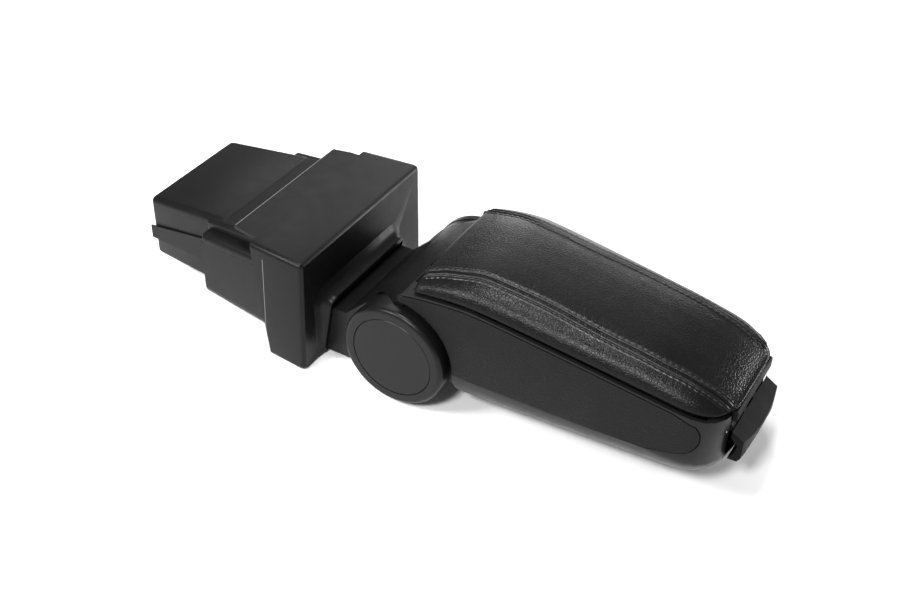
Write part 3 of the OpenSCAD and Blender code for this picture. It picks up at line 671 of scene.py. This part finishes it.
# %% [markdown]
# The seam between the top panel and the side band runs along both sides and turns down at the front. It
# could be drawn as a curve in space, but the skin has swollen by an amount that only the simulation knows.
# So its plan is given as distances from the arm's middle line, and rays from above drop it onto the skin.

# %% Where the seam runs
SEAM_PLAN_MM = [         # place along the part, distance from the arm's middle line
    (6, 44), (25, 41), (55, 37.6), (95, 36.4), (135, 37.6), (175, 37), (200, 35.6), (222, 33.6),
]
SEAM_REAR = 1.2 * MM     # from the pad's rear end to the seam's start
SEAM_FRONT = 5 * MM      # from the pad's front end to where it turns down
FRONT_DEPTH = 4 * MM     # how far behind that place the front may lie
RAY_STEP = 2 * MM        # distance between the rays from above
DROP_STEP = 1.6 * MM     # distance between the rays from the front
DROPS = 3                # number of rays from the front
PATH_ROUNDS = 6          # rounds of smoothing
PITCH = 4.4 * MM         # length from stitch to stitch
STATIONS_A_STITCH = 4    # stations along the seam for each stitch
skin = BVHTree.FromObject(pad, bpy.context.evaluated_depsgraph_get())


def seam_half(x):
    """Distance of the seam from the arm's middle line at x, in metres."""
    plan = [(place * MM, half * MM) for place, half in SEAM_PLAN_MM]
    if x <= plan[0][0]:
        return plan[0][1]
    for (x_a, half_a), (x_b, half_b) in zip(plan, plan[1:]):
        if x <= x_b:
            t = (x - x_a) / (x_b - x_a)
            t = t * t * (3 - 2 * t)
            return half_a + (half_b - half_a) * t
    return plan[-1][1]


def seam_path(side):
    """Points of the seam on the skin, along the top and down the front."""
    line = []
    front_x = pad_high.x - SEAM_FRONT
    x = pad_low.x + SEAM_REAR
    while x < front_x:
        hit = skin.ray_cast(Vector((x, arm_y + side * seam_half(x), 1)), Vector((0, 0, -1)))[0]
        if hit:
            line.append(hit)
        x += RAY_STEP
    last = line[-1]
    for i in range(1, DROPS + 1):
        hit = skin.ray_cast(Vector((1, last.y, last.z - DROP_STEP * i)), Vector((-1, 0, 0)))[0]
        if hit and hit.x > front_x - FRONT_DEPTH:
            line.append(hit)
    for _ in range(PATH_ROUNDS):
        inner = [(a + 2 * b + c) / 4 for a, b, c in zip(line, line[1:], line[2:])]
        line = [line[0]] + inner + [line[-1]]
    length = sum((b - a).length for a, b in zip(line, line[1:]))
    return evenly(line, round(length / (PITCH / STATIONS_A_STITCH)))


paths = {side: seam_path(side) for side in (-1, 1)}
print("seam stations:", {side: len(path) for side, path in paths.items()})

# %% [markdown]
# The seam's allowances are folded open and sewn down, which raises a narrow band with a groove in the
# middle and a furrow under each row of stitches. A bump could fake it, but the band is seen against the
# light, so it is real form. It is too fine for the pad's squares, and is swept along the seam as a strip of
# its own that follows the skin. Outside the stitches each pull of the thread dents the leather.

# %% Sweep the seam bands
STITCH_OFFSET_MM = 3.3   # distance of each row of stitches from the seam
HALF_PROFILE_MM = [      # distance from the seam, height over the skin
    (0.8, -0.1), (1.0, 0.6), (1.4, 1.1), (1.9, 1.2), (2.4, 1.0), (2.8, 0.5), (3.2, 0.02),
    (3.8, 0.1), (4.3, 0.6), (5.0, 0.4), (6.0, -0.3),
]
GROOVE_MM = (0, -0.25)   # the same at the seam itself
FADE_STATIONS = 4        # length of the band's fading ends
END_SINK_MM = 0.3        # depth of the band's tips under the skin
DENT = 0.35              # height that is left where the thread pulls, as a share
FIRST_STITCH = 2         # station of the first stitch
REACH = 2                # stations on each side that tell the seam's direction
BAND_PROFILE_MM = [(-offset, height) for offset, height in reversed(HALF_PROFILE_MM)]
BAND_PROFILE_MM += [GROOVE_MM] + HALF_PROFILE_MM


def on_skin(point, height):
    """The skin's place nearest to a point, raised by a height, and the skin's normal there."""
    place, normal, _, _ = skin.find_nearest(point)
    return place + normal * height, normal


def across(path, i):
    """Unit vector along the skin, square to the seam."""
    along = (path[min(i + REACH, len(path) - 1)] - path[max(i - REACH, 0)]).normalized()
    normal = on_skin(path[i], 0)[1]
    return along.cross(normal).normalized()


def puckered(i):
    """Share of its height that the leather keeps beside the stitches at one station."""
    phase = (i - FIRST_STITCH) % STATIONS_A_STITCH / STATIONS_A_STITCH
    return DENT + (1 - DENT) * math.sin(math.pi * phase)


def seam_band(name, path):
    """A strip with raised folds and a groove, swept along one seam."""
    verts = []
    for i, point in enumerate(path):
        fade = min(1, i / FADE_STATIONS, (len(path) - 1 - i) / FADE_STATIONS)
        sideways = across(path, i)
        for offset, height in BAND_PROFILE_MM:
            if abs(offset) > STITCH_OFFSET_MM and height > 0:
                height *= puckered(i)
            height = height * fade - END_SINK_MM * (1 - fade)
            verts.append(on_skin(point + sideways * offset * MM, height * MM)[0])
    width = len(BAND_PROFILE_MM)
    starts = [i * width + j for i in range(len(path) - 1) for j in range(width - 1)]
    mesh = bpy.data.meshes.new(name)
    mesh.from_pydata(verts, [], [(a, a + 1, a + width + 1, a + width) for a in starts])
    shade_smooth(mesh)
    return into_scene(name, mesh)


bands = [seam_band(name, paths[side]) for name, side in (("seam_band_left", 1), ("seam_band_right", -1))]
print("bands:", [len(band.data.polygons) for band in bands])

# %% [markdown]
# A topstitch shows as short arcs of thread that come out of one hole and go into the next. At a pitch of
# 4.4 mm each arc is about 3.3 mm long and 0.7 mm thick. A dashed line in the material would stay flat, while
# small tubes catch the light on one side. All of them along one seam are one mesh.

# %% Sew the stitches
THREAD = 0.34 * MM       # radius of the thread
THREAD_TIP = 0.55        # radius where it enters the leather, as a share
ARC_RISE = 0.42 * MM     # height of a stitch's middle over its ends
ARC_SINK = 0.28 * MM     # depth of the ends under the line between the holes
ARC_RINGS = 7            # rings of points along a stitch
TUBE_SIDES = 8           # points on each of them
HOLES = (0.12, 0.86)     # where a stitch starts and ends, as shares of the pitch
HOLE_LIFT = 0.12 * MM    # height of the line between the holes over the skin
SPARE_STATIONS = 6       # stations at the seam's ends that get no stitch
FACES_A_STITCH = (ARC_RINGS - 1) * TUBE_SIDES + 2


def thread_arc(form, start_point, end_point, normal):
    """One stitch: a tube that rises out of the leather and dips back into it."""
    tube = []
    along = (end_point - start_point).normalized()
    sideways = along.cross(normal).normalized()
    for i in range(ARC_RINGS):
        t = i / (ARC_RINGS - 1)
        centre = start_point.lerp(end_point, t) + normal * (ARC_RISE * math.sin(math.pi * t) - ARC_SINK)
        radius = THREAD * (THREAD_TIP + (1 - THREAD_TIP) * math.sin(math.pi * t) ** 0.5)
        angles = [2 * math.pi * k / TUBE_SIDES for k in range(TUBE_SIDES)]
        tube.append([form.verts.new(centre + radius * (math.cos(a) * sideways + math.sin(a) * normal))
                     for a in angles])
    for ring, following in zip(tube, tube[1:]):
        for k in range(TUBE_SIDES):
            j = (k + 1) % TUBE_SIDES
            form.faces.new((ring[k], ring[j], following[j], following[k]))
    form.faces.new(tube[0][::-1])
    form.faces.new(tube[-1])


def stitches(name, path):
    """Two rows of stitches beside one seam."""
    form = bmesh.new()
    count = (len(path) - SPARE_STATIONS) // STATIONS_A_STITCH
    for row in (-1, 1):
        for n in range(count):
            ends = []
            for share in HOLES:
                i = FIRST_STITCH + int((n + share) * STATIONS_A_STITCH)
                hole = path[i] + across(path, i) * row * STITCH_OFFSET_MM * MM
                ends.append(on_skin(hole, HOLE_LIFT))
            thread_arc(form, ends[0][0], ends[1][0], (ends[0][1] + ends[1][1]).normalized())
    bmesh.ops.recalc_face_normals(form, faces=form.faces)
    mesh = mesh_from(form, name)
    shade_smooth(mesh)
    return into_scene(name, mesh)


threads = [stitches(name, paths[side]) for name, side in (("stitches_left", 1), ("stitches_right", -1))]
print("stitches:", [len(thread.data.polygons) // FACES_A_STITCH for thread in threads])

# %% [markdown]
# Leatherette is PVC cast on embossed paper and backed with knit. Its grain is a net of pebbles with creases
# between them, and the skin has a soft satin gloss that spreads into long sheens. Cells with a measured
# distance to their border give just such a net. Real pebbles are 1 to 1.5 mm wide, and they are drawn 2.1 mm
# wide so that they show. Over the folds of the seam the skin is stretched: its grain is flatter, and it
# shines more.

# %% Leatherette
PEBBLE_MM = 2.1          # width of a pebble
WANDER_MM = 0.5          # how far the creases wander from straight lines
WANDER_SIZE_MM = 3       # size of those bends
PULL_MM = 30             # length of the slow waves that the foam under the skin makes


def cast_leatherette(name, grain_depth_mm, gloss):
    """Black PVC leatherette with a pebbled grain."""
    material, tree, shader = start_material(name)
    place = add(tree, "ShaderNodeTexCoord").outputs["Object"]
    wander = add(tree, "ShaderNodeTexNoise", None, {"Vector": place},
                 Scale=1 / (WANDER_SIZE_MM * MM), Detail=2.0)
    shifted = add(tree, "ShaderNodeVectorMath", {"operation": "MULTIPLY_ADD"},
                  {0: wander.outputs["Color"], 2: place})
    shifted.inputs[1].default_value = [WANDER_MM * MM] * 3
    pebbles = add(tree, "ShaderNodeTexVoronoi", {"feature": "DISTANCE_TO_EDGE"},
                  {"Vector": shifted.outputs["Vector"]}, Scale=1 / (PEBBLE_MM * MM))
    creases = add(tree, "ShaderNodeMapRange", {"interpolation_type": "SMOOTHSTEP"},
                  {"Value": pebbles.outputs["Distance"]}, From_Min=0.0, From_Max=0.25)
    pull = add(tree, "ShaderNodeTexNoise", None, {"Vector": place}, Scale=1 / (PULL_MM * MM), Detail=2.0)
    soft_bump = add(tree, "ShaderNodeBump", None, {"Height": pull.outputs["Fac"]},
                    Distance=0.6 * MM, Strength=0.4)
    grain_bump = add(tree, "ShaderNodeBump", None,
                     {"Height": creases.outputs["Result"], "Normal": soft_bump.outputs["Normal"]},
                     Distance=grain_depth_mm * MM, Strength=0.85)
    tree.links.new(grain_bump.outputs["Normal"], shader.inputs["Normal"])
    spread = add(tree, "ShaderNodeMapRange", None, {"Value": pull.outputs["Fac"]},
                 From_Min=0.3, From_Max=0.7, To_Min=0.3, To_Max=0.38)
    tree.links.new(spread.outputs["Result"], shader.inputs["Roughness"])
    shader.inputs["Base Color"].default_value = linear("#0c0c0d")
    shader.inputs["IOR"].default_value = 1.52
    shader.inputs["Specular IOR Level"].default_value = gloss
    return material


leatherette = cast_leatherette("cast_leatherette", 0.1, 0.15)
stretched = cast_leatherette("stretched_leatherette", 0.05, 0.25)
print("leatherettes:", leatherette.name, stretched.name)

# %% [markdown]
# The thread is spun polyester: matt, with a twist that shows as fine diagonal ribs. Real plies could be
# modelled as twisted tubes, but at less than a millimetre a wave in the bump does the same. Its ribs lie
# about 1.1 mm apart, which is coarser than real ones, so that they show.

# %% Thread
TWIST_UNIT_MM = 3        # length of one unit of the wave texture, which has several ribs


def spun_thread():
    """Black polyester thread with a fine twist."""
    material, tree, shader = start_material("spun_polyester_thread")
    place = add(tree, "ShaderNodeTexCoord").outputs["Object"]
    twist = add(tree, "ShaderNodeTexWave", {"bands_direction": "DIAGONAL"}, {"Vector": place},
                Scale=1 / (TWIST_UNIT_MM * MM))
    bump = add(tree, "ShaderNodeBump", None, {"Height": twist.outputs["Fac"]}, Distance=0.05 * MM)
    tree.links.new(bump.outputs["Normal"], shader.inputs["Normal"])
    shader.inputs["Base Color"].default_value = linear("#18181a")
    shader.inputs["Roughness"].default_value = 0.6
    shader.inputs["Sheen Weight"].default_value = 0.1
    return material


thread_finish = spun_thread()
print("thread:", thread_finish.name)

# %% [markdown]
# All of them turn with the lid. The swollen skin takes the place of the CAD pad, which is hidden, while the
# bands and the stitches lie on it.

# %% Dress the pad's pieces
for piece, finish in ((pad, leatherette), (bands[0], stretched), (bands[1], stretched)):
    piece.data.materials.append(finish)
for piece in threads:
    piece.data.materials.append(thread_finish)
for piece in [pad] + bands + threads:
    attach(piece, "lid")
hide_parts("pad")
print("pad pieces:", [piece.name for piece in [pad] + bands + threads])
